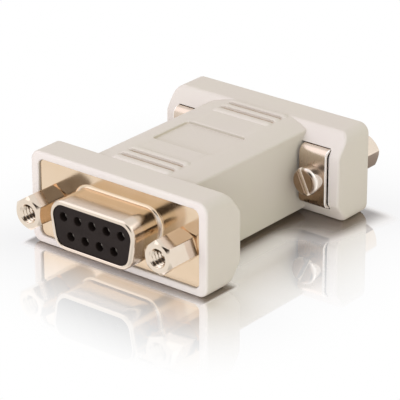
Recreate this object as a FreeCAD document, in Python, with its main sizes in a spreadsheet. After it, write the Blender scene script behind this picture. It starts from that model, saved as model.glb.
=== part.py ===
import FreeCAD, Part
import math
import os
import Sketcher
from FreeCAD import Placement, Rotation, Vector

# A nine-way gender changer: one moulded housing with a female D connector at each end.
# X is the width, Y runs from the front face to the rear face, Z is up. A sub-part is made with the
# rim of its own end at Y = 0 and the middle of the connectors at Z = 0. Its placement then lifts it
# so that the whole part stands on Z = 0, centred on X and Y.

doc = FreeCAD.newDocument("gender_changer")
sheet = doc.addObject("Spreadsheet::Sheet", "Sizes")


class Size:
    """A length that knows its number and the sheet expression it comes from."""

    def __init__(self, value, text):
        self.value = value
        self.text = text

    def __add__(self, other):
        other = as_size(other)
        return Size(self.value + other.value, "(%s + %s)" % (self.text, other.text))

    def __sub__(self, other):
        other = as_size(other)
        return Size(self.value - other.value, "(%s - %s)" % (self.text, other.text))

    def __mul__(self, other):
        other = as_size(other)
        return Size(self.value * other.value, "(%s * %s)" % (self.text, other.text))

    def __truediv__(self, other):
        other = as_size(other)
        return Size(self.value / other.value, "(%s / %s)" % (self.text, other.text))

    def __radd__(self, other):
        return as_size(other) + self

    def __rsub__(self, other):
        return as_size(other) - self

    def __rmul__(self, other):
        return as_size(other) * self

    def __rtruediv__(self, other):
        return as_size(other) / self

    def __neg__(self):
        return Size(-self.value, "(-1 * %s)" % self.text)


def as_size(number):
    return number if isinstance(number, Size) else Size(float(number), repr(float(number)))


def sine(angle):
    return Size(math.sin(math.radians(angle.value)), "sin(%s)" % angle.text)


def cosine(angle):
    return Size(math.cos(math.radians(angle.value)), "cos(%s)" % angle.text)


def tangent(angle):
    return Size(math.tan(math.radians(angle.value)), "tan(%s)" % angle.text)


aliases = []


def size(alias, number, meaning):
    """Write one driving dimension into the sheet and hand back its Size."""
    aliases.append(alias)
    row = len(aliases)
    sheet.set("A%d" % row, meaning)
    sheet.set("B%d" % row, str(number))
    sheet.setAlias("B%d" % row, alias)
    return Size(float(number), "Sizes.%s" % alias)


# Housing
body_length = size("body_length", 40, "front rim to rear rim")
rim_side_wall = size("rim_side_wall", 1.545, "wall of the rim beside the flange's recess")
rim_top_wall = size("rim_top_wall", 1.2, "wall of the rim above and below the flange's recess")
wing_corner = size("wing_corner", 1.7, "corner radius of an end block")
wing_edge_depth = size("wing_edge_depth", 5.3, "depth of an end block along its top and bottom edge")
wing_middle_depth = size("wing_middle_depth", 8.0, "depth of an end block at mid height")
wing_slope_height = size("wing_slope_height", 3.5, "height of the sloping band inside a wing")
wing_rounding = size("wing_rounding", 0.4, "rounding of the inner edges of a wing")
rim_rounding = size("rim_rounding", 0.45, "rounding of the outer edge of a rim")
neck_wall = size("neck_wall", 0.7, "thickness of the neck's walls beside the bore")
neck_flat_width = size("neck_flat_width", 12.6, "flat part of the top of the neck")
neck_edge_drop = size("neck_edge_drop", 1.0, "fall of the neck from its flat top to its edge")
neck_crown_radius = size("neck_crown_radius", 14, "radius between the flat top and the falling edge")
neck_edge_radius = size("neck_edge_radius", 0.45, "radius of the long edges of the neck")
panel_width = size("panel_width", 11, "width of the sunk panel")
panel_length = size("panel_length", 8.2, "length of the sunk panel")
panel_depth = size("panel_depth", 0.45, "depth of the sunk panel")
panel_corner = size("panel_corner", 0.5, "corner radius of the sunk panel")
panel_shift = size("panel_shift", 0.95, "distance of the panel's middle ahead of the housing's middle")
rib_length = size("rib_length", 11.8, "length of a grip rib")
rib_width = size("rib_width", 1.8, "width of a grip rib")
rib_height = size("rib_height", 0.6, "height of a grip rib")
rib_pitch = size("rib_pitch", 2.15, "spacing of the grip ribs")
rib_inset = size("rib_inset", 5.9, "rim to the middle of the nearest grip rib")
rib_count = size("rib_count", 3, "grip ribs in a group")
rib_taper = size("rib_taper", 0.5, "length over which a rib's end narrows to nothing")
tunnel_side_gap = size("tunnel_side_gap", 0.1, "space between a bracket and the outer wall of its tunnel")
tunnel_gap = size("tunnel_gap", 0.2, "space above and below a bracket in its tunnel")
tunnel_corner = size("tunnel_corner", 0.35, "corner radius of a bracket tunnel")

# Connector shells
flange_height = size("flange_height", 12.5, "height of the metal flange")
flange_corner = size("flange_corner", 1.0, "corner radius of the metal flange")
flange_clearance = size("flange_clearance", 0.05, "space round the metal flange in its recess")
flange_setback = size("flange_setback", 0.4, "rim of the housing to the face of the flange")
sheet_metal = size("sheet_metal", 0.5, "thickness of the shell sheet")
screw_spacing = size("screw_spacing", 24.99, "spacing of the two fixing holes")
flange_margin = size("flange_margin", 2.91, "middle of a fixing hole to the end of the flange")
fixing_hole = size("fixing_hole", 1.525, "radius of a fixing hole in the flange")
shell_width = size("shell_width", 16.33, "outer width of the D collar")
shell_height = size("shell_height", 7.9, "outer height of the D collar")
shell_corner = size("shell_corner", 2.6, "outer corner radius of the D collar")
shell_angle = size("shell_angle", 10, "slant of the collar's sides in degrees")
shell_reach = size("shell_reach", 6.17, "flange to the front of the D collar")
shell_lip = size("shell_lip", 0.85, "width of the turned-in lip of the D collar")
shell_front_radius = size("shell_front_radius", 0.6, "radius of the collar's front edge")
collar_gap = size("collar_gap", 1.195, "space between the back shell's collar and a bracket")
back_height = size("back_height", 9.8, "outer height of the back shell's collar")
back_corner = size("back_corner", 1.6, "corner radius of the back shell's collar")
back_reach = size("back_reach", 4.6, "length of the back shell's collar")

# Insulators and contacts
insulator_clearance = size("insulator_clearance", 0.05, "space round an insulator in its shell")
face_setback = size("face_setback", 0.17, "front of the collar to the insulator's face")
insulator_base = size("insulator_base", 1.5, "thickness of the front insulator's base")
base_insulator_length = size("base_insulator_length", 4.2, "length of the rear insulator")
contact_pitch = size("contact_pitch", 2.77, "spacing of the contacts in a row")
row_spacing = size("row_spacing", 2.84, "spacing of the two rows")
entry_radius = size("entry_radius", 0.7, "radius of a hole in the insulator's face")
entry_depth = size("entry_depth", 1.2, "insulator's face to the front of a contact")
barrel_radius = size("barrel_radius", 0.78, "outer radius of a contact's barrel")
socket_radius = size("socket_radius", 0.52, "bore radius of a contact")
socket_depth = size("socket_depth", 5.6, "bore depth of a contact")
tail_width = size("tail_width", 1.0, "side of a contact's square tail")
tail_reach = size("tail_reach", 4.0, "rear insulator to the end of a contact's tail")
contact_clearance = size("contact_clearance", 0.03, "space round a contact in its hole")

# Link between the contacts
board_side_gap = size("board_side_gap", 0.7, "edge of the circuit board to the wall of the bore")
board_thickness = size("board_thickness", 1.6, "thickness of the circuit board")
board_overlap = size("board_overlap", 2.6, "length of a tail that lies on the board")

# Fasteners
hex_across_flats = size("hex_across_flats", 4.75, "jack socket across its flats")
hex_chamfer = size("hex_chamfer", 0.3, "chamfer length at both ends of a jack socket")
hex_face_radius = size("hex_face_radius", 2.32, "radius of a jack socket's end face")
thread_bore = size("thread_bore", 1.19, "radius of the tapped hole in a jack socket")
thread_mouth = size("thread_mouth", 1.62, "radius of the tapped hole at its mouth")
bracket_width = size("bracket_width", 5.0, "width of a bracket")
bracket_height = size("bracket_height", 9.7, "height of a bracket")
bracket_sheet = size("bracket_sheet", 0.55, "thickness of a bracket's sheet")
bracket_bend = size("bracket_bend", 1.3, "outer bend radius of a bracket")
bracket_stand = size("bracket_stand", 0.75, "wing's inner face to the outer face of a bracket")
bracket_hole = size("bracket_hole", 1.55, "radius of the hole in a bracket")
head_radius = size("head_radius", 2.25, "radius of a screw's head")
head_height = size("head_height", 2.2, "height of a screw's head")
head_bevel = size("head_bevel", 0.3, "bevel of a screw's head")
slot_width = size("slot_width", 0.75, "width of a screw's slot")
slot_depth = size("slot_depth", 0.85, "depth of a screw's slot")
shank_radius = size("shank_radius", 1.4, "radius of a screw's shank over its thread")
thread_clearance = size("thread_clearance", 0.03, "space round a screw inside a jack socket")
thread_engaged = size("thread_engaged", 2.8, "length of a screw inside a jack socket")

socket_turns = {}
screw_turns = {}
for corner, socket_turn, screw_turn in (("front_left", 4, 72), ("front_right", 12, -38),
                                        ("rear_left", 22, 12), ("rear_right", 15, -25.5)):
    words = corner.replace("_", " ")
    socket_turns[corner] = size(corner + "_socket_turn", socket_turn, words + " jack socket, turn in degrees")
    screw_turns[corner] = size(corner + "_screw_turn", screw_turn, words + " screw's slot, turn in degrees")

doc.recompute()

# Sizes that follow from what a piece holds or lies beside
flange_width = screw_spacing + 2 * flange_margin
wing_width = flange_width + 2 * (flange_clearance + rim_side_wall)
wing_height = flange_height + 2 * (flange_clearance + rim_top_wall)
back_width = screw_spacing - bracket_width - 2 * collar_gap
neck_width = back_width + 2 * neck_wall
tunnel_outer = screw_spacing / 2 + bracket_width / 2 + tunnel_side_gap
board_width = back_width - 2 * board_side_gap

# Levels along Y, counted from the rim of the end that a sub-part belongs to
flange_face = flange_setback
flange_joint = flange_face + sheet_metal
flange_back = flange_joint + sheet_metal
shell_front = flange_face - shell_reach
insulator_face = shell_front + face_setback
contact_front = insulator_face + entry_depth
insulator_joint = flange_joint + insulator_base
insulator_back = insulator_joint + base_insulator_length
back_shell_end = flange_back + back_reach
tail_end = insulator_back + tail_reach
board_start = tail_end - board_overlap
bracket_face = wing_middle_depth + bracket_stand
screw_end = flange_face - thread_engaged


def bind(thing, name, length):
    thing.setExpression(name, length.text)


def plane_of(body, role):
    return [feature for feature in body.Origin.OriginFeatures if feature.Role == role][0]


def new_body(name):
    body = doc.addObject("PartDesign::Body", name)
    body.Label = name
    return body


def new_sketch(body, name, role, level=None):
    """A sketch on one of the body's origin planes, moved along the plane's own normal to a level."""
    sketch = body.newObject("Sketcher::SketchObject", name)
    sketch.AttachmentSupport = [(plane_of(body, role), "")]
    sketch.MapMode = "FlatFace"
    if level is not None:
        # The normal of the XZ plane points to -Y, so a level along Y is an offset of the other sign.
        offset = -level if role == "XZ_Plane" else level
        sketch.AttachmentOffset = Placement(Vector(0, 0, offset.value), Rotation())
        sketch.setExpression("AttachmentOffset.Base.z", offset.text)
    return sketch


def fix_point(sketch, geometry, position, u, v):
    """Hold one point of a geometry at (u, v) with dimensions that follow the sheet."""
    vertical_axis = -2
    horizontal_axis = -1
    for kind, axis, length in (("DistanceX", vertical_axis, u), ("DistanceY", horizontal_axis, v)):
        length = as_size(length)
        if abs(length.value) < 1e-9:
            sketch.addConstraint(Sketcher.Constraint("PointOnObject", geometry, position, axis))
        else:
            number = sketch.addConstraint(Sketcher.Constraint(kind, -1, 1, geometry, position, length.value))
            sketch.setExpression("Constraints[%d]" % number, length.text)


def fix_radius(sketch, geometry, radius):
    number = sketch.addConstraint(Sketcher.Constraint("Radius", geometry, radius.value))
    sketch.setExpression("Constraints[%d]" % number, radius.text)


def draw_loop(sketch, corners):
    """A closed outline of straight lines through virtual corners (u, v, radius), radius None where sharp."""
    corners = [(as_size(u), as_size(v), radius) for u, v, radius in corners]
    points = [Vector(u.value, v.value, 0) for u, v, radius in corners]
    count = len(points)
    starts = []
    ends = []
    centres = []
    for i in range(count):
        radius = corners[i][2]
        towards_last = (points[i - 1] - points[i]).normalize()
        towards_next = (points[(i + 1) % count] - points[i]).normalize()
        if radius is None:
            starts.append(points[i])
            ends.append(points[i])
            centres.append(None)
            continue
        half_angle = towards_last.getAngle(towards_next) / 2
        reach = radius.value / math.tan(half_angle)
        starts.append(points[i] + towards_last * reach)
        ends.append(points[i] + towards_next * reach)
        middle = (towards_last + towards_next).normalize()
        centres.append(points[i] + middle * (radius.value / math.sin(half_angle)))
    lines = []
    for i in range(count):
        lines.append(sketch.addGeometry(Part.LineSegment(ends[i], starts[(i + 1) % count]), False))
    for i in range(count):
        last_line = lines[i - 1]
        next_line = lines[i]
        u, v, radius = corners[i]
        if radius is None:
            sketch.addConstraint(Sketcher.Constraint("Coincident", last_line, 2, next_line, 1))
            fix_point(sketch, next_line, 1, u, v)
            continue
        begin = starts[i] - centres[i]
        finish = ends[i] - centres[i]
        turns_left = begin.x * finish.y - begin.y * finish.x > 0
        if not turns_left:
            begin, finish = finish, begin
        circle = Part.Circle(centres[i], Vector(0, 0, 1), radius.value)
        angles = math.atan2(begin.y, begin.x), math.atan2(finish.y, finish.x)
        arc = sketch.addGeometry(Part.ArcOfCircle(circle, angles[0], angles[1]), False)
        first, second = (1, 2) if turns_left else (2, 1)
        sketch.addConstraint(Sketcher.Constraint("Tangent", last_line, 2, arc, first))
        sketch.addConstraint(Sketcher.Constraint("Tangent", arc, second, next_line, 1))
        fix_radius(sketch, arc, radius)
        corner = sketch.addGeometry(Part.Point(points[i]), True)
        sketch.addConstraint(Sketcher.Constraint("PointOnObject", corner, 1, last_line))
        sketch.addConstraint(Sketcher.Constraint("PointOnObject", corner, 1, next_line))
        fix_point(sketch, corner, 1, u, v)


def draw_rectangle(sketch, width, height, radius=None, middle_u=0, middle_v=0):
    left, right = middle_u - width / 2, middle_u + width / 2
    low, high = middle_v - height / 2, middle_v + height / 2
    draw_loop(sketch, [(left, low, radius), (right, low, radius),
                       (right, high, radius), (left, high, radius)])


def draw_d_outline(sketch, inset):
    """The D outline of the collar, or the same outline a distance further in."""
    radius = shell_corner - inset
    half_height = shell_height / 2 - inset
    half_width = shell_width / 2 - inset
    slant = tangent(shell_angle)
    top = half_width - radius + radius * (1 + sine(shell_angle)) / cosine(shell_angle)
    bottom = top - 2 * half_height * slant
    draw_loop(sketch, [(-bottom, -half_height, radius), (bottom, -half_height, radius),
                       (top, half_height, radius), (-top, half_height, radius)])


def draw_circles(sketch, places, radius):
    for u, v in places:
        centre = Vector(as_size(u).value, as_size(v).value, 0)
        circle = sketch.addGeometry(Part.Circle(centre, Vector(0, 0, 1), radius.value), False)
        fix_radius(sketch, circle, radius)
        fix_point(sketch, circle, 3, u, v)


def pad(body, sketch, name, length, reverse=False, symmetric=False):
    feature = body.newObject("PartDesign::Pad", name)
    feature.Profile = sketch
    feature.SideType = "Symmetric" if symmetric else "One side"
    feature.Reversed = reverse
    bind(feature, "Length", length)
    return feature


def pocket(body, sketch, name, length, reverse=False, symmetric=False):
    feature = body.newObject("PartDesign::Pocket", name)
    feature.Profile = sketch
    feature.SideType = "Symmetric" if symmetric else "One side"
    feature.Reversed = reverse
    bind(feature, "Length", length)
    return feature


def turn(body, kind, sketch, name):
    """A Revolution or a Groove, once round the sketch's own horizontal axis."""
    feature = body.newObject("PartDesign::" + kind, name)
    feature.Profile = sketch
    feature.ReferenceAxis = (sketch, ["H_Axis"])
    feature.Angle = 360
    return feature


def soften(body, kind, name, base, length, wanted):
    """A Fillet or a Chamfer on the edges of a feature whose bounding box passes a test."""
    doc.recompute()
    edges = ["Edge%d" % (i + 1) for i, edge in enumerate(base.Shape.Edges) if wanted(edge.BoundBox)]
    feature = body.newObject("PartDesign::" + kind, name)
    feature.Base = (base, edges)
    bind(feature, "Radius" if kind == "Fillet" else "Size", length)
    return feature


def lies_at(low, high, level):
    """True where a box's two limits lie on one level, which keeps edges in a plane."""
    return abs(low - level.value) < 1e-4 and abs(high - level.value) < 1e-4


def repeat_along_y(body, feature, name, pitch, count, reverse):
    pattern = body.newObject("PartDesign::LinearPattern", name)
    pattern.Originals = [feature]
    pattern.Direction = (plane_of(body, "Y_Axis"), [""])
    pattern.Reversed = reverse
    bind(pattern, "Length", pitch * (count - 1))
    bind(pattern, "Occurrences", count)
    body.Tip = pattern
    return pattern


def put_on_stand(body, at_rear, x=0, z=0, tilt=0):
    """Place a sub-part that was made at its own end: lifted onto Z = 0, and turned round at the rear."""
    turned = Rotation(Vector(0, 0, 1), 180 if at_rear else 0)
    body.Placement = Placement(Vector(0, 0, 0), turned * Rotation(Vector(0, -1, 0), tilt))
    x, z = as_size(x), as_size(z)
    half_length = body_length / 2
    bind(body, "Placement.Base.x", -x if at_rear else x)
    bind(body, "Placement.Base.y", half_length if at_rear else -half_length)
    bind(body, "Placement.Base.z", wing_height / 2 + z)


# A pad on the XZ plane grows towards -Y and a pocket there cuts towards +Y, unless reversed.
half_wing = wing_height / 2
upper_row = row_spacing / 2
contact_places = [(contact_pitch * (i - 2), upper_row) for i in range(5)]
contact_places += [(contact_pitch * (i - 1.5), -upper_row) for i in range(4)]
fixing_places = [(-screw_spacing / 2, 0), (screw_spacing / 2, 0)]


def housing_blocks(body):
    """The two end blocks, with a sloping band above and below the inner face of each wing."""
    for end in ("front", "rear"):
        level = wing_middle_depth if end == "front" else body_length
        sketch = new_sketch(body, end + "_block_outline", "XZ_Plane", level)
        draw_rectangle(sketch, wing_width, wing_height, wing_corner)
        block = pad(body, sketch, end + "_block", wing_middle_depth)
    slope_foot = half_wing - wing_slope_height
    slope_run = wing_middle_depth - wing_edge_depth
    overrun = Size(1, "1")
    slopes = new_sketch(body, "slopes", "YZ_Plane")
    for end in ("front", "rear"):
        for side in (1, -1):
            wedge = [(wing_middle_depth, slope_foot), (wing_middle_depth + overrun, slope_foot),
                     (wing_middle_depth + overrun, half_wing + overrun),
                     (wing_edge_depth - overrun * slope_run / wing_slope_height, half_wing + overrun)]
            if end == "rear":
                wedge = [(body_length - y, z) for y, z in wedge]
            draw_loop(slopes, [(y, z * side, None) for y, z in wedge])
    return pocket(body, slopes, "sloped_bands", wing_width + overrun, symmetric=True)


def housing_roundings(body, base):
    near = 0.02
    low = wing_edge_depth.value - near
    high = wing_middle_depth.value + near
    far_end = body_length.value

    def inside_front(box):
        return box.YMin > low and box.YMax < high

    def inside_rear(box):
        return box.YMin > far_end - high and box.YMax < far_end - low

    def on_a_rim(box):
        return lies_at(box.YMin, box.YMax, as_size(0)) or lies_at(box.YMin, box.YMax, body_length)

    base = soften(body, "Fillet", "front_wing_edges", base, wing_rounding, inside_front)
    base = soften(body, "Fillet", "rear_wing_edges", base, wing_rounding, inside_rear)
    return soften(body, "Fillet", "rim_edges", base, rim_rounding, on_a_rim)


def housing_neck(body):
    """The neck: flat on top, falling away towards its long edges, joined to both blocks."""
    half_neck = neck_width / 2
    half_flat = neck_flat_width / 2
    edge = half_wing - neck_edge_drop
    upper = [(half_neck, edge, neck_edge_radius), (half_flat, half_wing, neck_crown_radius)]
    right = [(x, -z, radius) for x, z, radius in reversed(upper)] + upper
    left = [(-x, z, radius) for x, z, radius in reversed(right)]
    middle_of_block = wing_edge_depth / 2
    sketch = new_sketch(body, "neck_section", "XZ_Plane", body_length - middle_of_block)
    draw_loop(sketch, right + left)
    return pad(body, sketch, "neck", body_length - 2 * middle_of_block)


def housing_hollows(body):
    """Recesses for the flanges, the bore between them and four tunnels for the brackets."""
    for end in ("front", "rear"):
        at_rear = end == "rear"
        level = body_length if at_rear else as_size(0)
        recess = new_sketch(body, end + "_recess_outline", "XZ_Plane", level)
        gap = 2 * flange_clearance
        draw_rectangle(recess, flange_width + gap, flange_height + gap, flange_corner + flange_clearance)
        pocket(body, recess, end + "_recess", flange_back, reverse=at_rear)
        tunnels = new_sketch(body, end + "_tunnel_outlines", "XZ_Plane", level)
        half_tunnel = bracket_height / 2 + tunnel_gap
        half_neck = neck_width / 2
        for side in (1, -1):
            draw_loop(tunnels, [(half_neck * side, -half_tunnel, None),
                                (tunnel_outer * side, -half_tunnel, tunnel_corner),
                                (tunnel_outer * side, half_tunnel, tunnel_corner),
                                (half_neck * side, half_tunnel, None)])
        pocket(body, tunnels, end + "_tunnels", wing_middle_depth + bracket_stand, reverse=at_rear)
    bore = new_sketch(body, "bore_outline", "XZ_Plane", flange_back)
    draw_rectangle(bore, back_width, back_height, back_corner)
    return pocket(body, bore, "bore", body_length - 2 * flange_back)


def housing_panel(body):
    sketch = new_sketch(body, "panel_outline", "XY_Plane", half_wing)
    draw_rectangle(sketch, panel_width, panel_length, panel_corner, 0, body_length / 2 - panel_shift)
    return pocket(body, sketch, "panel", panel_depth)


def housing_ribs(body):
    """Grip ribs: round bars with tapered ends, sunk until only a low crown stands out."""
    half_width = rib_width / 2
    radius = (half_width * half_width + rib_height * rib_height) / (2 * rib_height)
    axis_height = half_wing + rib_height - radius
    half_straight = rib_length / 2 - rib_taper
    tip = half_straight + rib_taper * radius / rib_height
    for end in ("front", "rear"):
        at_rear = end == "rear"
        level = body_length - rib_inset if at_rear else rib_inset
        sketch = new_sketch(body, end + "_rib_section", "XZ_Plane", level)
        bind(sketch, "AttachmentOffset.Base.y", axis_height)
        draw_loop(sketch, [(-tip, 0, None), (tip, 0, None),
                           (half_straight, radius, None), (-half_straight, radius, None)])
        rib = turn(body, "Revolution", sketch, end + "_rib")
        ribs = repeat_along_y(body, rib, end + "_ribs", rib_pitch, rib_count, at_rear)
    return ribs


def make_housing():
    body = new_body("housing")
    blocks = housing_blocks(body)
    housing_roundings(body, blocks)
    housing_neck(body)
    housing_ribs(body)
    housing_panel(body)
    housing_hollows(body)
    put_on_stand(body, False)


def make_shell(name, at_rear):
    """A drawn cup with its bottom punched out, which leaves a lip, and a flange with two holes."""
    body = new_body(name)
    plate = new_sketch(body, name + "_flange_outline", "XZ_Plane", flange_face)
    draw_rectangle(plate, flange_width, flange_height, flange_corner)
    pad(body, plate, name + "_flange", sheet_metal, reverse=True)
    collar = new_sketch(body, name + "_collar_outline", "XZ_Plane", flange_face)
    draw_d_outline(collar, as_size(0))
    cup = pad(body, collar, name + "_collar", shell_reach)
    soften(body, "Fillet", name + "_front_radius", cup, shell_front_radius,
           lambda box: lies_at(box.YMin, box.YMax, shell_front))
    inside = new_sketch(body, name + "_inside_outline", "XZ_Plane", flange_joint)
    draw_d_outline(inside, sheet_metal)
    pocket(body, inside, name + "_inside", shell_reach, reverse=True)
    mouth = new_sketch(body, name + "_mouth_outline", "XZ_Plane", shell_front)
    draw_d_outline(mouth, shell_lip)
    pocket(body, mouth, name + "_mouth", 2 * sheet_metal)
    holes = new_sketch(body, name + "_hole_circles", "XZ_Plane", flange_face)
    draw_circles(holes, fixing_places, fixing_hole)
    pocket(body, holes, name + "_holes", sheet_metal)
    put_on_stand(body, at_rear)


def make_back_shell(name, at_rear):
    body = new_body(name)
    plate = new_sketch(body, name + "_flange_outline", "XZ_Plane", flange_joint)
    draw_rectangle(plate, flange_width, flange_height, flange_corner)
    pad(body, plate, name + "_flange", sheet_metal, reverse=True)
    collar = new_sketch(body, name + "_collar_outline", "XZ_Plane", flange_back)
    draw_rectangle(collar, back_width, back_height, back_corner)
    pad(body, collar, name + "_collar", back_reach, reverse=True)
    inside = new_sketch(body, name + "_inside_outline", "XZ_Plane", flange_joint)
    walls = 2 * sheet_metal
    draw_rectangle(inside, back_width - walls, back_height - walls, back_corner - sheet_metal)
    pocket(body, inside, name + "_inside", sheet_metal + back_reach)
    holes = new_sketch(body, name + "_hole_circles", "XZ_Plane", flange_joint)
    draw_circles(holes, fixing_places, fixing_hole)
    pocket(body, holes, name + "_holes", sheet_metal)
    put_on_stand(body, at_rear)


def draw_insulator_block(sketch):
    margin = 2 * (sheet_metal + insulator_clearance)
    draw_rectangle(sketch, back_width - margin, back_height - margin, back_corner - margin / 2)


def make_face_insulator(name, at_rear):
    """The visible insulator: a D block with a nose in the collar's lip and a base behind the flange."""
    body = new_body(name)
    lip_back = shell_front + sheet_metal + insulator_clearance
    block = new_sketch(body, name + "_block_outline", "XZ_Plane", lip_back)
    draw_d_outline(block, sheet_metal + insulator_clearance)
    pad(body, block, name + "_block", flange_joint - lip_back, reverse=True)
    nose = new_sketch(body, name + "_nose_outline", "XZ_Plane", insulator_face)
    draw_d_outline(nose, shell_lip + insulator_clearance)
    pad(body, nose, name + "_nose", lip_back - insulator_face, reverse=True)
    base = new_sketch(body, name + "_base_outline", "XZ_Plane", flange_joint)
    draw_insulator_block(base)
    pad(body, base, name + "_base", insulator_base, reverse=True)
    entries = new_sketch(body, name + "_entry_circles", "XZ_Plane", insulator_face)
    draw_circles(entries, contact_places, entry_radius)
    pocket(body, entries, name + "_entries", entry_depth)
    barrels = new_sketch(body, name + "_barrel_circles", "XZ_Plane", contact_front)
    draw_circles(barrels, contact_places, barrel_radius + contact_clearance)
    pocket(body, barrels, name + "_barrel_holes", insulator_joint - contact_front)
    put_on_stand(body, at_rear)


def make_base_insulator(name, at_rear):
    body = new_body(name)
    block = new_sketch(body, name + "_block_outline", "XZ_Plane", insulator_joint)
    draw_insulator_block(block)
    pad(body, block, name + "_block", base_insulator_length, reverse=True)
    tails = new_sketch(body, name + "_tail_outlines", "XZ_Plane", insulator_joint)
    side = tail_width + 2 * contact_clearance
    for x, z in contact_places:
        draw_rectangle(tails, side, side, None, x, z)
    pocket(body, tails, name + "_tail_holes", base_insulator_length)
    put_on_stand(body, at_rear)


def make_contact(name, place, at_rear):
    """A socket contact: a bored round barrel with a square tail."""
    body = new_body(name)
    section = new_sketch(body, name + "_section", "YZ_Plane")
    bore_end = contact_front + socket_depth
    outline = [(contact_front, socket_radius), (contact_front, barrel_radius),
               (insulator_joint, barrel_radius), (insulator_joint, 0),
               (bore_end, 0), (bore_end, socket_radius)]
    draw_loop(section, [(y, z, None) for y, z in outline])
    turn(body, "Revolution", section, name + "_barrel")
    tail = new_sketch(body, name + "_tail_outline", "XZ_Plane", insulator_joint)
    draw_rectangle(tail, tail_width, tail_width)
    pad(body, tail, name + "_tail", tail_end - insulator_joint, reverse=True)
    put_on_stand(body, at_rear, place[0], place[1])


def make_circuit_board():
    body = new_body("circuit_board")
    outline = new_sketch(body, "board_outline", "XZ_Plane", board_start)
    draw_rectangle(outline, board_width, board_thickness)
    pad(body, outline, "board", body_length - 2 * board_start, reverse=True)
    put_on_stand(body, False)


def make_inner_mould():
    """The block moulded round the solder joints: it fills the bore between the two back shells."""
    body = new_body("inner_mould")
    outline = new_sketch(body, "mould_outline", "XZ_Plane", back_shell_end)
    draw_rectangle(outline, back_width, back_height, back_corner)
    pad(body, outline, "mould", body_length - 2 * back_shell_end, reverse=True)
    for end in ("front", "rear"):
        at_rear = end == "rear"
        face = body_length - back_shell_end if at_rear else back_shell_end
        seat = new_sketch(body, end + "_seat_outline", "XZ_Plane", face)
        draw_insulator_block(seat)
        pocket(body, seat, end + "_seat", insulator_back - back_shell_end, reverse=at_rear)
        joint = body_length - insulator_back if at_rear else insulator_back
        rows = new_sketch(body, end + "_row_outlines", "XZ_Plane", joint)
        tail_space = tail_width + 2 * contact_clearance
        for height, contacts in ((upper_row, 5), (-upper_row, 4)):
            draw_rectangle(rows, contact_pitch * (contacts - 1) + tail_space, tail_space, None, 0, height)
        pocket(body, rows, end + "_row_spaces", tail_reach, reverse=at_rear)
    board = new_sketch(body, "board_space_outline", "XZ_Plane", board_start)
    draw_rectangle(board, board_width, board_thickness)
    pocket(body, board, "board_space", body_length - 2 * board_start)
    put_on_stand(body, False)


def make_jack_socket(name, place, turned, at_rear):
    """A hexagonal socket, chamfered at both ends, tapped from the front and seated on its screw behind."""
    body = new_body(name)
    corner_radius = hex_across_flats / 2 / cosine(as_size(30))
    corners = []
    for i in range(6):
        angle = as_size(30 + 60 * i)
        corners.append((corner_radius * cosine(angle), corner_radius * sine(angle), None))
    hexagon = new_sketch(body, name + "_hexagon", "XZ_Plane", flange_face)
    draw_loop(hexagon, corners)
    pad(body, hexagon, name + "_bar", shell_reach)
    cones = new_sketch(body, name + "_chamfer_sections", "YZ_Plane")
    outside = corner_radius * 1.2
    run = hex_chamfer * (outside - hex_face_radius) / (corner_radius - hex_face_radius)
    for face, inward in ((shell_front, run), (flange_face, -run)):
        draw_loop(cones, [(face, hex_face_radius, None), (face + inward, outside, None),
                          (face, outside, None)])
    turn(body, "Groove", cones, name + "_chamfers")
    seat = new_sketch(body, name + "_screw_circle", "XZ_Plane", flange_face)
    draw_circles(seat, [(0, 0)], shank_radius + thread_clearance)
    pocket(body, seat, name + "_screw_seat", thread_engaged, reverse=True)
    circle = new_sketch(body, name + "_thread_circle", "XZ_Plane", shell_front)
    draw_circles(circle, [(0, 0)], thread_bore)
    tapped = pocket(body, circle, name + "_thread", shell_reach - thread_engaged)
    soften(body, "Chamfer", name + "_mouth", tapped, thread_mouth - thread_bore,
           lambda box: lies_at(box.YMin, box.YMax, shell_front) and box.XLength < 2.1 * thread_bore.value)
    put_on_stand(body, at_rear, place[0], place[1], turned.value)


def make_bracket(name, place, at_rear):
    """A strip folded into a U, its legs on the flange and its back clear of the wing, with one hole."""
    body = new_body(name)
    half = bracket_height / 2
    inner_half = half - bracket_sheet
    inner_face = bracket_face - bracket_sheet
    inner_bend = bracket_bend - bracket_sheet
    section = new_sketch(body, name + "_section", "YZ_Plane")
    draw_loop(section, [(flange_back, -half, None), (bracket_face, -half, bracket_bend),
                        (bracket_face, half, bracket_bend), (flange_back, half, None),
                        (flange_back, inner_half, None), (inner_face, inner_half, inner_bend),
                        (inner_face, -inner_half, inner_bend), (flange_back, -inner_half, None)])
    pad(body, section, name + "_strip", bracket_width, symmetric=True)
    circle = new_sketch(body, name + "_hole_circle", "XZ_Plane", inner_face)
    draw_circles(circle, [(0, 0)], bracket_hole)
    pocket(body, circle, name + "_hole", bracket_sheet)
    put_on_stand(body, at_rear, place[0], place[1])


def make_screw(name, place, turned, at_rear):
    """A slotted cheese-head screw whose shank ends inside the jack socket."""
    body = new_body(name)
    top = bracket_face + head_height
    section = new_sketch(body, name + "_section", "YZ_Plane")
    draw_loop(section, [(top, 0, None), (top, head_radius - head_bevel, None),
                        (top - head_bevel, head_radius, None), (bracket_face, head_radius, None),
                        (bracket_face, shank_radius, None), (screw_end, shank_radius, None),
                        (screw_end, 0, None)])
    turn(body, "Revolution", section, name + "_turning")
    slot = new_sketch(body, name + "_slot_outline", "XZ_Plane", top)
    draw_rectangle(slot, slot_width, 3 * head_radius)
    pocket(body, slot, name + "_slot", slot_depth, reverse=True)
    put_on_stand(body, at_rear, place[0], place[1], turned.value)


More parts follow.
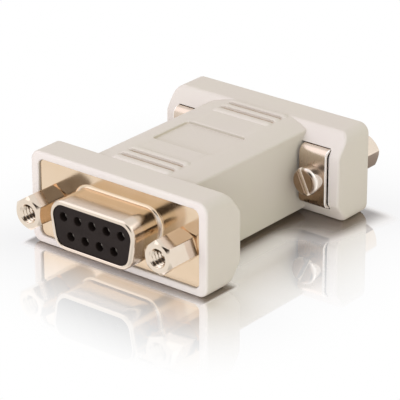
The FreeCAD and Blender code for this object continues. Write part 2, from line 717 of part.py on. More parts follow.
def make_end(end, at_rear):
    """Everything that one end of the changer carries."""
    make_shell(end + "_shell", at_rear)
    make_back_shell(end + "_back_shell", at_rear)
    make_face_insulator(end + "_face_insulator", at_rear)
    make_base_insulator(end + "_base_insulator", at_rear)
    for number, place in enumerate(contact_places, 1):
        make_contact("%s_contact_%d" % (end, number), place, at_rear)
    # Left and right are the sides seen when looking at the front face, so they swap places at the rear.
    for side, place in zip(("left", "right"), reversed(fixing_places) if at_rear else fixing_places):
        name = "%s_%s" % (end, side)
        make_jack_socket(name + "_jack_socket", place, socket_turns[name], at_rear)
        make_bracket(name + "_bracket", place, at_rear)
        make_screw(name + "_screw", place, screw_turns[name], at_rear)


def check_document():
    """Stop with a plain message if anything failed, or if a cut removed nothing."""
    for thing in doc.Objects:
        if "Invalid" in thing.State or "Error" in thing.State:
            raise RuntimeError("%s has failed: %s" % (thing.Name, thing.State))
        if thing.TypeId in ("PartDesign::Pocket", "PartDesign::Groove"):
            if thing.Shape.Volume > thing.BaseFeature.Shape.Volume - 1e-6:
                raise RuntimeError("%s cuts nothing" % thing.Name)


def write_parts():
    os.makedirs("parts", exist_ok=True)
    for body in doc.Objects:
        if body.TypeId != "PartDesign::Body":
            continue
        if body.Shape.isNull() or not body.Shape.isValid() or len(body.Shape.Solids) != 1:
            raise RuntimeError("%s has no valid solid" % body.Label)
        body.Shape.exportStep(os.path.join("parts", body.Label + ".step"))


make_housing()
make_inner_mould()
make_circuit_board()
make_end("front", False)
make_end("rear", True)
doc.recompute()
check_document()
write_parts()
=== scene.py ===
import math
import bmesh
import bpy
import numpy as np
from mathutils import Matrix, Vector


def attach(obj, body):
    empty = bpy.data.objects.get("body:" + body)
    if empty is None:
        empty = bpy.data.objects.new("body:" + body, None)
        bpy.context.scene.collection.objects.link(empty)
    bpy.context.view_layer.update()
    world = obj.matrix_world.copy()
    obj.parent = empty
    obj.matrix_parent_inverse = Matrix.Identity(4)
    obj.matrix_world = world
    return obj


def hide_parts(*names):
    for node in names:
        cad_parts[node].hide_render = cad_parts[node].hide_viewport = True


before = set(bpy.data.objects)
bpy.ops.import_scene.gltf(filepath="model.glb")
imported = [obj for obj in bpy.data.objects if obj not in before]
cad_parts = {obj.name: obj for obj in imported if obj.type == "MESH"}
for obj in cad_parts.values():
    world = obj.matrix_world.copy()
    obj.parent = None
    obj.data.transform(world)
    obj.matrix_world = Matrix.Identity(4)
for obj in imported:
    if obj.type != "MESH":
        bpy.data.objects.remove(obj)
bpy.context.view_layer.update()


# Stand and camera
# The changer stands on a table of white acrylic. Its polished face keeps the part's shadow, deepened near
# the part by a painted contact shade, and mirrors the part, and both fade into plain white within 26 mm.

mm = 0.001


def new_mesh_object(name, points, faces):
    """An object at the origin from an (n, 3) array of points in millimetres and a list of faces."""
    mesh = bpy.data.meshes.new(name)
    mesh.from_pydata((np.asarray(points, float) * mm).tolist(), [], faces)
    mesh.update()
    piece = bpy.data.objects.new(name, mesh)
    bpy.context.scene.collection.objects.link(piece)
    return piece


class Value:
    """A number that a shader works out. Sums, differences and products of values add Math nodes."""

    def __init__(self, tree, socket):
        self.tree = tree
        self.socket = socket

    def math(self, operation, first, second=0.0):
        return Shader(self.tree).node("ShaderNodeMath", {"operation": operation}, {0: first, 1: second})

    def __add__(self, other):
        return self.math("ADD", self, other)

    def __radd__(self, other):
        return self.math("ADD", other, self)

    def __sub__(self, other):
        return self.math("SUBTRACT", self, other)

    def __rsub__(self, other):
        return self.math("SUBTRACT", other, self)

    def __mul__(self, other):
        return self.math("MULTIPLY", self, other)

    def __rmul__(self, other):
        return self.math("MULTIPLY", other, self)

    def __truediv__(self, other):
        return self.math("DIVIDE", self, other)

    def __pow__(self, other):
        return self.math("POWER", self, other)

    def __abs__(self):
        return self.math("ABSOLUTE", self)

    def at_least(self, other):
        return self.math("MAXIMUM", self, other)

    def at_most(self, other):
        return self.math("MINIMUM", self, other)

    def clamped(self):
        """The value kept between 0 and 1."""
        return self.at_least(0.0).at_most(1.0)

    def past(self, start, width):
        """0 up to a start, then rising to 1 over a width."""
        return ((self - start) / width).clamped()

    def before(self, end, width):
        """1 at first, then falling to 0 over a width, which ends at an end."""
        return ((end - self) / width).clamped()


class Shader:
    """A node tree that nodes are added to."""

    def __init__(self, tree):
        self.tree = tree

    def node(self, kind, settings=None, sockets=None, output=0):
        """Add a node: its settings first, then the values or links of its sockets."""
        made = self.tree.nodes.new(kind)
        for name, setting in (settings or {}).items():
            setattr(made, name, setting)
        for name, given in (sockets or {}).items():
            if isinstance(given, Value):
                self.tree.links.new(given.socket, made.inputs[name])
            else:
                made.inputs[name].default_value = given
        return Value(self.tree, made.outputs[output])

    def end_with(self, surface, kind="ShaderNodeOutputMaterial"):
        output = self.tree.nodes.new(kind)
        self.tree.links.new(surface.socket, output.inputs["Surface"])

    def blend(self, factor, first, second):
        """Mix two colours."""
        return self.node("ShaderNodeMix", {"data_type": "RGBA"}, {0: factor, 6: first, 7: second}, 2)

    def layer(self, factor, first, second):
        """Mix two surfaces."""
        return self.node("ShaderNodeMixShader", None, {0: factor, 1: first, 2: second})

    def ray(self, kind):
        """1 for a kind of ray, such as Camera or Glossy, and 0 for any other."""
        return self.node("ShaderNodeLightPath", None, None, "Is %s Ray" % kind)

    def axes(self, names):
        """Object coordinates in millimetres, one for each axis that is named."""
        place = self.node("ShaderNodeTexCoord", None, None, "Object")
        return [self.node("ShaderNodeSeparateXYZ", None, {"Vector": place}, name) / mm for name in names]

    def noise(self, scale, detail, squeeze=None):
        """Clouds between 0 and 1, scale of them to a metre; squeeze multiplies that along each axis."""
        place = self.node("ShaderNodeTexCoord", None, None, "Object")
        if squeeze:
            place = self.node("ShaderNodeMapping", None, {"Vector": place, "Scale": squeeze})
        sockets = {"Vector": place, "Scale": scale, "Detail": detail}
        return self.node("ShaderNodeTexNoise", None, sockets, "Fac")

    def relief(self, height, strength, depth):
        """A bumpy surface from a height between 0 and 1; the depth is in millimetres."""
        sockets = {"Height": height, "Strength": strength, "Distance": depth * mm}
        return self.node("ShaderNodeBump", None, sockets, "Normal")

    def surface(self, sockets):
        """End a material in one Principled surface."""
        self.end_with(self.node("ShaderNodeBsdfPrincipled", None, sockets))


def new_material(name):
    material = bpy.data.materials.new(name)
    material.use_nodes = True
    material.node_tree.nodes.clear()
    return material, Shader(material.node_tree)


table_reach = 4000
table_level = -0.02
table_signs = ((-1, -1), (1, -1), (1, 1), (-1, 1))
table_corners = [(x * table_reach, y * table_reach, table_level) for x, y in table_signs]
table = new_mesh_object("table", table_corners, [(0, 1, 2, 3)])


def distance(beside, ahead):
    """How far a point lies from a rectangle, from how far it is past its sides and past its ends."""
    beside = beside.at_least(0.0)
    ahead = ahead.at_least(0.0)
    return (beside * beside + ahead * ahead) ** 0.5


acrylic, shader = new_material("white_acrylic")
x, y = shader.axes("XY")
camera_ray = shader.ray("Camera")
gloss_ray = shader.ray("Glossy")
shown = camera_ray.at_least(gloss_ray)

part_side = 17
part_end = 20
wing_level = 14.7
neck_edge = 9.5

# A distance past each side is multiplied by a rate, and the higher it is, the sooner the painted contact
# shade ends there. The rates are high on the left and towards the front, and low towards the back
# on the right. In what the metal mirrors, the painted shade goes on behind the changer.
front_rate = 2.5
back_rate = 3.0
mirrored_back_rate = 0.15
left_rate = 7.0
middle_rate = 0.75
rate_rise_to_front = 0.18
rate_fall_to_back = 0.025
right_rate_gain = 2.0
right_rate_start = 0.7
shade_width = 7

behind = (y - part_end) * (back_rate + gloss_ray * (mirrored_back_rate - back_rate))
ahead = ((-part_end - y) * front_rate).at_least(behind)
rate = middle_rate - (y * rate_fall_to_back).at_most(y * rate_rise_to_front)
right = (x - part_side) * (rate * right_rate_gain + right_rate_start)
beside = right.at_least((-part_side - x) * left_rate)
between_wings = (wing_level - abs(y)) * rate
from_neck = (distance(abs(x) - neck_edge, ahead) / shade_width).at_most(1.0)
from_blocks = (distance(beside, ahead.at_least(between_wings)) / shade_width).at_most(1.0)
open_floor = from_neck * from_blocks * from_blocks

# The mirror image is weaker beside the neck than at the end blocks, and weakest where the painted contact
# shade is deepest.
mirror_reach = 26
neck_mirror = 0.73
block_mirror = 0.95
shaded_mirror = 0.4

fading = 1.0 - (distance(abs(x) - part_side, abs(y) - part_end) / mirror_reach).at_most(1.0)
under_block = abs(y).past(wing_level, part_end - wing_level)
mirroring = (under_block * (block_mirror - neck_mirror) + neck_mirror) * fading * fading
mirroring = mirroring * shown * (open_floor * (1.0 - shaded_mirror) + shaded_mirror)

# Near the part the floor's colour is darkened into a painted contact shade, which only the camera and the
# metal see.
shade_end = 1.8
lit = (open_floor * shade_end + 1.0 - shown).at_most(1.0)
floor_with_painted_shade = shader.blend(lit, (0.085, 0.05, 0.03, 1), (0.93, 0.88, 0.84, 1))
matt = shader.node("ShaderNodeBsdfDiffuse", None, {"Color": floor_with_painted_shade})
polish = shader.node("ShaderNodeBsdfGlossy", None, {"Color": (1.0, 0.985, 0.97, 1), "Roughness": 0.03})
white = shader.node("ShaderNodeEmission", None, {"Color": (1, 1, 1, 1), "Strength": 1.0})
shader.end_with(shader.layer(mirroring, shader.layer(open_floor * shown, matt, white), polish))
table.data.materials.append(acrylic)

camera_azimuth = 38.971
camera_elevation = 23.881
camera_roll = -0.159
camera_place = (224.17, -277.63, 162.31)
camera_lens = 228.95

camera_data = bpy.data.cameras.new("camera")
camera_data.sensor_width = 36
camera_data.lens = camera_lens
camera = bpy.data.objects.new("camera", camera_data)
bpy.context.scene.collection.objects.link(camera)
turned = (Matrix.Rotation(math.radians(camera_azimuth), 4, "Z")
          @ Matrix.Rotation(math.radians(90 - camera_elevation), 4, "X")
          @ Matrix.Rotation(math.radians(camera_roll), 4, "Z"))
camera.matrix_world = Matrix.Translation(Vector(camera_place) * mm) @ turned
bpy.context.scene.camera = camera


# Light
# The part stands in a white tent, a little cooler behind, with a dark opening high up in front.
# Weak soft boxes hang above and behind, and a broad cool one in front lights the socket face.

opening_way = (0.255, -0.72, 0.645)
opening_start = 0.88
opening_edge = 0.08

world = bpy.data.worlds.new("studio")
bpy.context.scene.world = world
world.use_nodes = True
world.node_tree.nodes.clear()
shader = Shader(world.node_tree)
way = shader.node("ShaderNodeTexCoord", None, None, "Generated")
across, along, upward = (
    shader.node("ShaderNodeSeparateXYZ", None, {"Vector": way}, name) for name in "XYZ")

# What metal mirrors: pale walls, and the opening where a direction lies close to its middle.
towards = shader.node("ShaderNodeVectorMath", {"operation": "DOT_PRODUCT"},
                      {0: way, 1: opening_way}, "Value")
opening = towards.past(opening_start, opening_edge)
to_back_left = ((along - across) * 0.7 + 0.1).clamped()
walls = shader.blend(to_back_left, (1, 1, 1, 1), (0.88, 0.89, 0.91, 1))
mirrored = shader.blend(opening, walls, (0.05, 0.04, 0.035, 1))

# What lights the part: a rosy cast from above, yellowish at the sides and from below, and a
# greenish grey one from the right.
cast = shader.blend(upward.at_least(0.0), (0.775, 0.775, 0.65, 1), (0.80, 0.715, 0.76, 1))
cast = shader.blend(across.at_least(0.0), cast, (0.67, 0.73, 0.615, 1))
tent = shader.blend(shader.ray("Glossy"), cast, mirrored)
tent = shader.blend(shader.ray("Camera").at_least(shader.ray("Transmission")), tent, (1, 1, 1, 1))
background = shader.node("ShaderNodeBackground", None, {"Color": tent, "Strength": 1.0})
shader.end_with(background, "ShaderNodeOutputWorld")


def add_soft_box(name, place, target, width, height, watts, colour):
    """A rectangular area light that faces a target; places and sizes in millimetres."""
    data = bpy.data.lights.new(name, "AREA")
    data.shape = "RECTANGLE"
    data.size = width * mm
    data.size_y = height * mm
    data.energy = watts
    data.color = colour
    lamp = bpy.data.objects.new(name, data)
    bpy.context.scene.collection.objects.link(lamp)
    place = Vector(place) * mm
    towards = Vector(target) * mm - place
    lamp.matrix_world = Matrix.Translation(place) @ towards.to_track_quat("-Z", "Y").to_matrix().to_4x4()
    return lamp


add_soft_box("overhead", place=(-250, -110, 360), target=(0, 0, 8), width=430, height=430,
             watts=0.31, colour=(0.92, 0.84, 0.96))
add_soft_box("back_right", place=(250, 200, 320), target=(0, 0, 8), width=320, height=240,
             watts=0.13, colour=(1.0, 0.98, 1.0))
front = add_soft_box("front", place=(30, -520, 120), target=(0, -5, 8), width=500, height=300,
                     watts=2.3, colour=(0.74, 0.77, 1.0))
front.visible_glossy = False


# Housing
# One piece of pale PVC is moulded over the soldered connectors: two waisted end blocks with sloping
# bands inside their wings, a crowned neck with grip ribs and a sunk panel, and four tunnels.

half_length = 20
half_height = 7.5


def smooth(piece, angle):
    """Round shading, with an edge kept wherever two faces meet at more than an angle in degrees."""
    mesh = piece.data
    mesh.polygons.foreach_set("use_smooth", np.ones(len(mesh.polygons), bool))
    mesh.set_sharp_from_angle(angle=math.radians(angle))
    weighted = piece.modifiers.new("even_flats", "WEIGHTED_NORMAL")
    weighted.mode = "FACE_AREA"
    weighted.weight = 100
    weighted.keep_sharp = True


def rounded_outline(corners, inset=0.0, steps=9):
    """A polygon with rounded corners, as (x, z) points: centre + (radius - inset) * (cos a, sin a).

    Corners are (x, z, radius), anticlockwise, before rounding; an inset draws the same outline
    further in, point for point.
    """
    corners = np.asarray(corners, float)
    place = corners[:, :2]
    back = np.roll(place, 1, 0) - place
    onward = np.roll(place, -1, 0) - place
    back /= np.linalg.norm(back, axis=1, keepdims=True)
    onward /= np.linalg.norm(onward, axis=1, keepdims=True)
    middle = back + onward
    middle /= np.linalg.norm(middle, axis=1, keepdims=True)
    half_angle = np.arccos(np.clip((back * middle).sum(1), -1, 1))
    centre = place + middle * (corners[:, 2] / np.sin(half_angle))[:, None]
    first = np.arctan2(back[:, 0], -back[:, 1])
    sweep = np.pi - 2 * half_angle
    angle = first[:, None] + sweep[:, None] * np.linspace(0, 1, steps)
    arcs = np.stack([np.cos(angle), np.sin(angle)], -1)
    return (centre[:, None] + (corners[:, 2] - inset)[:, None, None] * arcs).reshape(-1, 2)


def rectangle(width, height, radius, x=0.0, z=0.0):
    """The four corners of a rectangle about (x, z), anticlockwise, for rounded_outline."""
    return [(x + width / 2, z - height / 2, radius), (x + width / 2, z + height / 2, radius),
            (x - width / 2, z + height / 2, radius), (x - width / 2, z - height / 2, radius)]


def divide_sides(outline, longest):
    """The same outline with sides cut into even steps: start + (finish - start) * count / parts."""
    onward = np.roll(outline, -1, 0)
    parts = np.maximum(1, np.ceil(np.linalg.norm(onward - outline, axis=1) / longest)).astype(int)
    start = np.repeat(outline, parts, 0)
    step = np.repeat((onward - outline) / parts[:, None], parts, 0)
    count = np.arange(parts.sum()) - np.repeat(np.cumsum(parts) - parts, parts)
    return start + step * count[:, None]


def at_level(outline, y):
    """An outline of (x, z) points as a ring (x, y, z), at one level y or at one level per point."""
    return np.stack([outline[:, 0], np.broadcast_to(y, len(outline)).astype(float), outline[:, 1]], 1)


def bar_grid(outline, start, finish, middle=(0.0, 0.0)):
    """A straight bar along y: the middle of one end, the outline at both levels, the other middle."""
    point = outline * 0 + middle
    return np.stack([at_level(point, start), at_level(outline, start),
                     at_level(outline, finish), at_level(point, finish)])


def quarter(start, finish, corner, steps=7):
    """A quarter of an ellipse that rounds off a corner point.

    It is corner + (start - corner) * (1 - sin t) + (finish - corner) * (1 - cos t).
    """
    start, finish, corner = (np.asarray(p, float) for p in (start, finish, corner))
    t = np.linspace(0, np.pi / 2, steps)[:, None]
    return corner + (start - corner) * (1 - np.sin(t)) + (finish - corner) * (1 - np.cos(t))


def seat(points, end="front", x=0.0, z=0.0, turn=0.0):
    """Bring points made at the front rim (y = 0, axis at z = 0) to their place.

    They turn about their own axis, move to (x, z), and go round by half a turn for the rear end.
    """
    points = np.array(points, float)
    angle = math.radians(turn)
    right = points[..., 0] * math.cos(angle) - points[..., 2] * math.sin(angle) + x
    up = points[..., 0] * math.sin(angle) + points[..., 2] * math.cos(angle) + z
    along = points[..., 1] - half_length
    sign = -1 if end == "rear" else 1
    return np.stack([sign * right, sign * along, up + half_height], -1)


def skin_piece(name, grids, wraps_rows=False):
    """A closed piece from grids (rows, columns, 3) of points in millimetres; columns run round."""
    points = []
    faces = []
    start = 0
    for grid in grids:
        rows, columns = grid.shape[:2]
        last_row = rows if wraps_rows else rows - 1
        row, column = np.meshgrid(np.arange(last_row), np.arange(columns), indexing="ij")
        below = (row + 1) % rows
        beside = (column + 1) % columns
        quads = np.stack([row * columns + column, row * columns + beside,
                          below * columns + beside, below * columns + column], -1)
        points.append(grid.reshape(-1, 3))
        faces.append(quads.reshape(-1, 4) + start)
        start += rows * columns
    piece = new_mesh_object(name, np.concatenate(points), np.concatenate(faces).tolist())
    skin = bmesh.new()
    skin.from_mesh(piece.data)
    bmesh.ops.remove_doubles(skin, verts=skin.verts, dist=1e-7)
    bmesh.ops.dissolve_degenerate(skin, edges=skin.edges, dist=1e-8)
    bmesh.ops.recalc_face_normals(skin, faces=skin.faces)
    skin.to_mesh(piece.data)
    skin.free()
    return piece


def combine(piece, operation, grids, end="front", x=0.0, z=0.0, turn=0.0):
    """Unite a piece with a tool made from grids and seated in its place, or take the tool out."""
    tool = skin_piece("tool", [seat(grid, end, x, z, turn) for grid in grids])
    modifier = piece.modifiers.new("combine", "BOOLEAN")
    modifier.operation = operation
    modifier.solver = "EXACT"
    modifier.object = tool
    bpy.context.view_layer.update()
    evaluated = piece.evaluated_get(bpy.context.evaluated_depsgraph_get())
    mesh = bpy.data.meshes.new_from_object(evaluated)
    piece.modifiers.clear()
    old_mesh = piece.data
    piece.data = mesh
    bpy.data.meshes.remove(old_mesh)
    bpy.data.objects.remove(tool)


wing_width = 34
wing_corner = 1.7
wing = rectangle(wing_width, 2 * half_height, wing_corner)
wing_inner = 8.0
rim_rounding = 0.45
inner_rounding = 0.4
band_start = 4.0
band_slope = 2.7 / 3.5
band_blend = 0.2


def wing_face(z):
    """Level of a wing's inner face, which falls away in a sloping band towards top and bottom.

    It is inner level - slope * (d + root of (d squared + blend squared)) / 2, where d is how far a
    height lies past the start of the band.
    """
    beyond = np.abs(z) - band_start
    return wing_inner - band_slope * (beyond + np.sqrt(beyond * beyond + band_blend * band_blend)) / 2


def block_grid():
    """An end block as rings: whole outline + (outline drawn in by 1 - whole outline) * inset.

    The insets make a flat rim, its rounded edge, the sides and a rounded inner edge, and the last
    rings shrink to the middle along the inner face.
    """
    whole = divide_sides(rounded_outline(wing, 0, 11), 0.5)
    shrink = divide_sides(rounded_outline(wing, 1, 11), 0.5) - whole
    rings = [at_level(whole * 0, 0)]
    for inset, y in quarter((rim_rounding, 0), (0, rim_rounding), (0, 0), 8):
        rings.append(at_level(whole + shrink * inset, y))
    for inset, rise in quarter((0, -inner_rounding), (inner_rounding, 0), (0, 0), 9):
        outline = whole + shrink * inset
        rings.append(at_level(outline, wing_face(outline[:, 1]) + rise))
    for share in np.linspace(1, 0, 33)[1:]:
        smaller = outline * share
        rings.append(at_level(smaller, wing_face(smaller[:, 1])))
    return np.stack(rings)


neck_side = 9.5
neck_start = 2.6
neck_shoulder = 6.5
neck_corners = [(neck_side, neck_shoulder, 0.4), (6.3, half_height - 0.004, 14)]


def neck_grid():
    """The neck: a bar whose top and bottom are low crowns, from one end block to the other."""
    right = [(x, -z, radius) for x, z, radius in reversed(neck_corners)] + neck_corners
    left = [(-x, -z, radius) for x, z, radius in right]
    return bar_grid(rounded_outline(right + left, 0, 11), neck_start, 2 * half_length - neck_start)


def round_bar_grid(y, z, radius, reach, taper):
    """A round bar along x, (x, y + r cos a, z + r sin a), where r = radius - taper * e squared.

    Over the last 0.9 mm before each end e rises from 0 to 1; elsewhere it is 0.
    """
    last_stretch = 0.9
    segments = 64
    e = np.linspace(-1, 0, 9)
    left = e * last_stretch + last_stretch - reach
    x = np.concatenate([left, -left[::-1]])
    radii = radius - taper * np.concatenate([e, e[::-1]]) ** 2
    angle = np.linspace(0, 2 * np.pi, segments, endpoint=False)
    bar = np.stack([np.repeat(x[:, None], segments, 1), y + radii[:, None] * np.cos(angle),
                    z + radii[:, None] * np.sin(angle)], -1)
    caps = bar.mean(1, keepdims=True).repeat(segments, 1)
    return np.concatenate([caps[:1], bar, caps[-1:]])


housing = skin_piece("moulded_housing", [seat(block_grid())])
combine(housing, "UNION", [block_grid()], "rear")
combine(housing, "UNION", [neck_grid()])

# Each grip has three ribs, the crowns of round bars sunk into the neck, with grooves between them.
rib_levels = (6.0, 8.0, 10.05)
rib_height = 0.22
rib_radius = 1.6
rib_reach = 5.75
rib_taper = 0.4
groove_levels = (7.0, 9.0)
groove_axis = half_height + 0.02
groove_radius = 0.46
groove_reach = 5.45
groove_taper = 0.36
for end in ("front", "rear"):
    for y in rib_levels:
        rib = round_bar_grid(y, half_height + rib_height - rib_radius, rib_radius, rib_reach, rib_taper)
        combine(housing, "UNION", [rib], end)
    for y in groove_levels:
        groove = round_bar_grid(y, groove_axis, groove_radius, groove_reach, groove_taper)
        combine(housing, "DIFFERENCE", [groove], end)

# The panel is a tray whose floor and mouth are rounded off. Its rings lie flat, one above another.
panel_x = 0.1
panel_y = 19.25
panel_width = 12.3
panel_length = 9.5
panel_corner = 1.1
panel = rectangle(panel_width, panel_length, panel_corner, panel_x, panel_y)
panel_floor = 7.02
panel_wall = 0.45
floor_rounding = 0.08
mouth_depth = 0.26
floor_edge = quarter((panel_wall + floor_rounding, panel_floor),
                     (panel_wall, panel_floor + floor_rounding), (panel_wall, panel_floor), 5)
mouth_edge = quarter((panel_wall, half_height - mouth_depth), (0, half_height),
                     (panel_wall, half_height), 7)
tray = []
for inset, z in np.concatenate([floor_edge, mouth_edge, [(0, half_height + 0.3)]]):
    ring = rounded_outline(panel, inset, 7)
    tray.append(np.stack([ring[:, 0], ring[:, 1], np.full(len(ring), z)], 1))
middles = [tray[i] * (0, 0, 1) + (panel_x, panel_y, 0) for i in (0, -1)]
tray = [middles[0]] + tray + [middles[1]]
combine(housing, "DIFFERENCE", [np.stack(tray)])

flange_width = 30.81
flange_height = 12.5
flange_corner = 1.0
flange_gap = 0.05
recess_depth = 1.4
recess_chamfer = 0.12
fixing_x = 12.495
tunnel_top = 5.05
tunnel_edge = fixing_x + 2.6
tunnel_corner = 0.35
joint_space = rounded_outline(rectangle(17.6, 9.8, 1.6), 0, 7)
joint_space_start = 1.2

recess = rectangle(flange_width + 2 * flange_gap, flange_height + 2 * flange_gap,
                   flange_corner + flange_gap)
mouth = rounded_outline(recess, -recess_chamfer, 9)
well = rounded_outline(recess, 0, 9)
recess_rings = [at_level(mouth * 0, -1), at_level(mouth, -1), at_level(mouth, 0),
                at_level(well, recess_chamfer), at_level(well, recess_depth),
                at_level(well * 0, recess_depth)]
for end in ("front", "rear"):
    combine(housing, "DIFFERENCE", [np.stack(recess_rings)], end)
    for side in (1, -1):
        edge, foot, top = (side * size for size in (tunnel_edge, neck_side, tunnel_top))
        tunnel = [(edge, -top, tunnel_corner), (edge, top, tunnel_corner),
                  (foot, top, 0.01), (foot, -top, 0.01)]
        shaft = bar_grid(rounded_outline(tunnel, 0, 9), 1, wing_inner + 1, (side * fixing_x, 0))
        combine(housing, "DIFFERENCE", [shaft], end)
joint_bar = bar_grid(joint_space, joint_space_start, 2 * half_length - joint_space_start)
combine(housing, "DIFFERENCE", [joint_bar])
smooth(housing, angle=28)

pvc, shader = new_material("moulded_pvc")
cloud = shader.noise(120.0, 3.0)
grain = shader.noise(5200.0, 2.0)
colour = shader.blend(cloud, (0.675, 0.618, 0.56, 1), (0.685, 0.65, 0.55, 1))
# A tan painted shade lies low on the walls of the panel, most on its rear wall, and in the
# grooves between the ribs.
x, y, z = shader.axes("XYZ")
grooved = abs(y).past(5.3, 0.4)
rear_wall = y.past(3.4, 0.1).at_most(abs(x).before(5.7, 0.3)).at_most(1.0 - grooved)
painted_shade = z.past(14.52, 0.04).at_most((z - rear_wall * 0.12).before(14.82, 0.1))
painted_shade = painted_shade.at_most(abs(x).before(6.2, 0.2)).at_most(abs(y).before(14.3, 0.2))
tan = shader.blend(rear_wall, (0.66, 0.585, 0.48, 1), (0.475, 0.435, 0.345, 1))
tan = shader.blend(grooved, tan, (0.49, 0.36, 0.255, 1))
shader.surface({"Base Color": shader.blend(painted_shade, colour, tan), "Roughness": grain * 0.12 + 0.42,
                "Specular IOR Level": 0.4, "Normal": shader.relief(grain, 0.25, 0.01)})
housing.data.materials.append(pvc)
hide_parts("housing")
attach(housing, "root")


# D shells
# Each socket sits in a cup drawn from nickel-plated steel: a flat flange with two fixing holes,
# a generous radius at the collar's foot, a rounded front edge and a turned-in lip.

sheet = 0.5
flange_face = 0.4
flange_bevel = 0.06
fixing_hole = 1.525
collar_front = -5.77
collar_width = 16.33
collar_height = 7.9
collar_corner = 2.6
collar_lean = math.radians(10)
foot_radius = 0.55
front_radius = 0.5
lip_start = 0.6
lip_inset = 0.68
lip_depth = 0.45

flange = rectangle(flange_width, flange_height, flange_corner)
widest = collar_width / 2 - collar_corner
widest += collar_corner * (1 + math.sin(collar_lean)) / math.cos(collar_lean)
narrowest = widest - collar_height * math.tan(collar_lean)
half_collar = collar_height / 2
collar = [(narrowest, -half_collar, collar_corner), (widest, half_collar, collar_corner),
          (-widest, half_collar, collar_corner), (-narrowest, -half_collar, collar_corner)]


def turned_grid(profile, segments=32):
    """A profile of (y, radius) rows carried round the y axis: (r cos a, y, r sin a)."""
    profile = np.asarray(profile, float)
    angle = np.linspace(0, 2 * np.pi, segments, endpoint=False)
    y = np.repeat(profile[:, :1], segments, 1)
    return np.stack([profile[:, 1:] * np.cos(angle), y, profile[:, 1:] * np.sin(angle)], -1)


def rod_grid(start, finish, radius):
    """A round rod along y between two levels."""
    return turned_grid([(start, 0), (start, radius), (finish, radius), (finish, 0)])


def make_shell(end):
    """A drawn shell as rings: its flange, then the collar's outline drawn in by each inset."""
    steps = 17
    rings = [at_level(rounded_outline(flange, 0, steps), flange_face + sheet),
             at_level(rounded_outline(flange, 0, steps), flange_face + flange_bevel),
             at_level(rounded_outline(flange, flange_bevel, steps), flange_face)]
    foot = quarter((-foot_radius, flange_face), (0, flange_face - foot_radius), (0, flange_face), 11)
    edge = quarter((0, collar_front + front_radius), (front_radius, collar_front), (0, collar_front), 9)
    lip = [(lip_start, collar_front), (lip_inset, collar_front + lip_inset - lip_start),
           (lip_inset, collar_front + lip_depth), (sheet, collar_front + lip_depth + 0.05),
           (sheet, flange_face + sheet)]
    for inset, y in np.concatenate([foot, edge, lip]):
        rings.append(at_level(rounded_outline(collar, inset, steps), y))
    piece = skin_piece(end + "_d_shell", [seat(np.stack(rings), end)], True)
    punch = rod_grid(flange_face - 1, flange_face + 1.5, fixing_hole)
    for x in (-fixing_x, fixing_x):
        combine(piece, "DIFFERENCE", [punch], end, x)
    smooth(piece, angle=32)
    return piece


nickel, shader = new_material("bright_nickel")
wave = shader.noise(260.0, 1.0)
haze = shader.noise(1400.0, 4.0)
drawn = shader.noise(1100.0, 2.0, (0.08, 1.0, 0.08))
beside, depth = (abs(axis) for axis in shader.axes("XY"))
# The plate is gilt on the flange. On the collar it is darker, a painted shade; near its front edge it is
# bright, a painted reflection broken by drawing marks; and where the foot bends at either side it is pale
# and dull, a painted highlight.
foot = depth.past(19.66, 0.1) * depth.before(20.4, 0.2) * beside.past(6.8, 1.0)
gilt = shader.blend(wave, (0.77, 0.59, 0.41, 1), (0.82, 0.66, 0.50, 1))
tint = shader.blend(depth.past(20.0, 0.4), gilt, (0.685, 0.57, 0.42, 1))
painted_reflection = ((depth - 22.3) / 1.8 + drawn * 2.2 - 1.1).clamped()
tint = shader.blend(painted_reflection, tint, (0.78, 0.67, 0.56, 1))
tint = shader.blend(foot, tint, (0.96, 0.90, 0.84, 1))
shader.surface({"Base Color": tint, "Metallic": 1.0, "Normal": shader.relief(wave, 0.35, 0.04),
                "Roughness": haze * 0.06 + drawn * 0.16 + painted_reflection * 0.06 + foot * 0.35 + 0.03})

for end in ("front", "rear"):
    shell = make_shell(end)
    shell.data.materials.append(nickel)
    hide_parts(end + "_shell")
    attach(shell, "root")


# Face insulators
# A block of black glass-filled nylon fills each collar. Its face lies just behind the lip and
# has nine countersunk holes in two rows.

contact_pitch = 2.77
row_height = 1.42
contact_places = [(contact_pitch * (i - 2), row_height) for i in range(5)]
contact_places += [(contact_pitch * (i - 1.5), -row_height) for i in range(4)]
insulator_face = collar_front + 0.17
nose_inset = 0.72
nose_rounding = 0.12
nose_end = collar_front + 0.55
block_inset = 0.55
base = rectangle(16.5, 8.7, 1.05)
base_start = 0.9
base_end = 2.4
hole_radius = 0.7
countersink = 0.84
countersink_depth = 0.16
contact_hole = 0.81
contact_front = insulator_face + 1.2


def make_face_insulator(end):
    """An insulator as rings: its face, rounded edge, nose and block within the collar, and its base."""
    steps = 13
    rounding = quarter((nose_inset + nose_rounding, insulator_face),
                       (nose_inset, insulator_face + nose_rounding), (nose_inset, insulator_face), 5)
    block = [(nose_inset, nose_end), (block_inset, nose_end), (block_inset, base_start)]
    face = rounded_outline(collar, nose_inset + nose_rounding, steps)
    rings = [at_level(face * 0, insulator_face)]
    for inset, y in np.concatenate([rounding, block]):
        rings.append(at_level(rounded_outline(collar, inset, steps), y))
    back = rounded_outline(base, 0, steps)
    rings += [at_level(back, base_start), at_level(back, base_end), at_level(back * 0, base_end)]
    piece = skin_piece(end + "_face_block", [seat(np.stack(rings), end)])
    mouth = quarter((insulator_face - 0.001, countersink),
                    (insulator_face + countersink_depth, hole_radius), (insulator_face, hole_radius), 5)
    profile = [(insulator_face - 1, 0), (insulator_face - 1, countersink)] + mouth.tolist()
    profile += [(contact_front, hole_radius), (contact_front, contact_hole),
                (base_end + 1.1, contact_hole), (base_end + 1.1, 0)]
    drills = [turned_grid(profile) + (x, 0, z) for x, z in contact_places]
    combine(piece, "DIFFERENCE", drills, end)
    smooth(piece, angle=32)
    return piece


